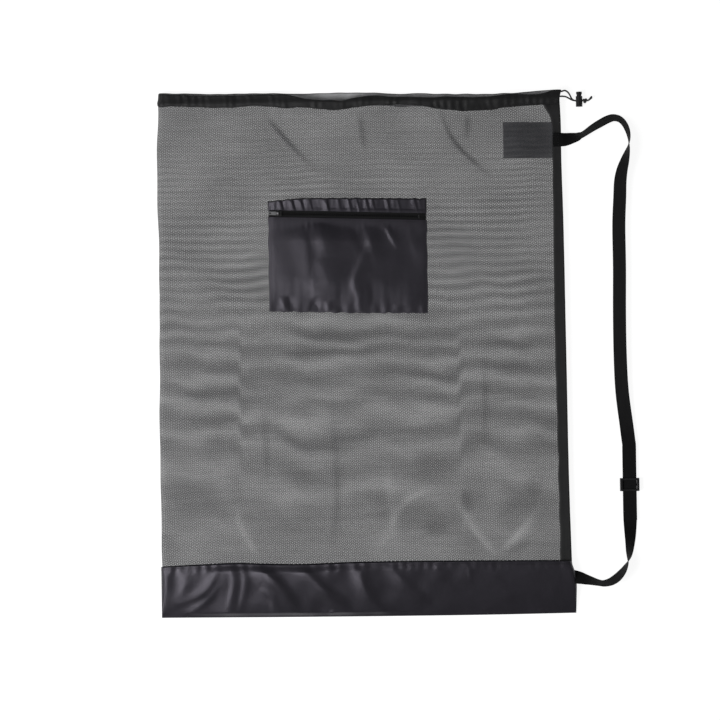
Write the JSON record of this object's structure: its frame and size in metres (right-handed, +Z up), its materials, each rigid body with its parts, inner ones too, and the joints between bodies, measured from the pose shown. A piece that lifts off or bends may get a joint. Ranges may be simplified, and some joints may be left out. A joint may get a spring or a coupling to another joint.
{
  "type": "drawstring sack",
  "caption": "Flat mesh drawstring sack with a nylon base, a zipped front pocket, a cord lock at the mouth and one adjustable webbing shoulder strap along its side.",
  "frame": {"origin": "middle of the plan of the sack with its strap loop, on the surface that the sack's back lies on", "axes": "+X towards the strap side, +Y towards the mouth, +Z up out of the front of the sack"},
  "size_m": [0.694, 0.76, 0.0239],
  "materials": {
    "mesh": "open knitted polyester mesh",
    "nylon": "smooth coated nylon with a soft shine",
    "tape": "matt woven binding",
    "webbing": "ribbed polypropylene webbing",
    "zip_tape": "woven zip tape",
    "zip_teeth": "moulded coil",
    "zip_metal": "dull nickel",
    "cord": "braided cord",
    "lock_plastic": "moulded",
    "slider_plastic": "moulded",
    "spring_steel": "drawn wire"
  },
  "bodies": {
    "bag": {"mesh_body": "mesh", "base_band": "nylon", "hem_casing": "tape", "side_binding": "tape", "strap_patch": "nylon", "strap_end_upper": "webbing", "strap_end_lower": "webbing", "pocket_panel": "nylon", "pocket_strip": "nylon", "zip_tape_upper": "zip_tape", "zip_tape_lower": "zip_tape", "zip_teeth_upper": "zip_teeth", "zip_teeth_lower": "zip_teeth", "zip_stops": "zip_metal", "drawcord_bight": "cord"},
    "zip_runner": {"zip_runner": "zip_metal"},
    "zip_pull": {"zip_pull": "zip_metal"},
    "drawcord": {"drawcord_run_front": "cord", "drawcord_run_back": "cord", "drawcord_end_front": "cord", "drawcord_end_back": "cord", "cord_knot": "cord", "drawcord_tails": "cord"},
    "cord_lock": {"lock_barrel": "lock_plastic", "lock_spring": "spring_steel"},
    "lock_plunger": {"lock_plunger": "lock_plastic"},
    "strap": {"strap_upper_web": "webbing", "strap_lower_web": "webbing"},
    "strap_slider": {"strap_slider": "slider_plastic"}
  },
  "joints": [
    {"name": "strap_swing", "type": "hinge", "parent": "bag", "child": "strap", "pos_m": [0.25298, 0, 0.009], "axis": [0, -1, 0], "range_deg": [0, 110]},
    {"name": "strap_slider_slide", "type": "slide", "parent": "strap", "child": "strap_slider", "axis": [0, 1, 0], "range_m": [-0.035, 0.035]},
    {"name": "zip_slide", "type": "slide", "parent": "bag", "child": "zip_runner", "axis": [0.9994, -0.0349, 0], "range_m": [0, 0.2], "deforming": ["zip_teeth_upper", "zip_teeth_lower"]},
    {"name": "zip_pull_flip", "type": "hinge", "parent": "zip_runner", "child": "zip_pull", "pos_m": [-0.17232, 0.20549, 0.0225], "axis": [0.0349, 0.9994, 0], "range_deg": [0, 165]},
    {"name": "drawcord_pull", "type": "slide", "parent": "bag", "child": "drawcord", "axis": [1, 0, 0], "range_m": [0, 0.12]},
    {"name": "cord_lock_slide", "type": "slide", "parent": "drawcord", "child": "cord_lock", "axis": [1, 0, 0], "range_m": [-0.018, 0], "deforming": ["drawcord_end_front", "drawcord_end_back"]},
    {"name": "plunger_press", "type": "slide", "parent": "cord_lock", "child": "lock_plunger", "axis": [0, -1, 0], "range_m": [0, 0.0025], "stiffness_N_per_m": 300, "springref_m": -0.002, "deforming": ["lock_spring"]}
  ]
}
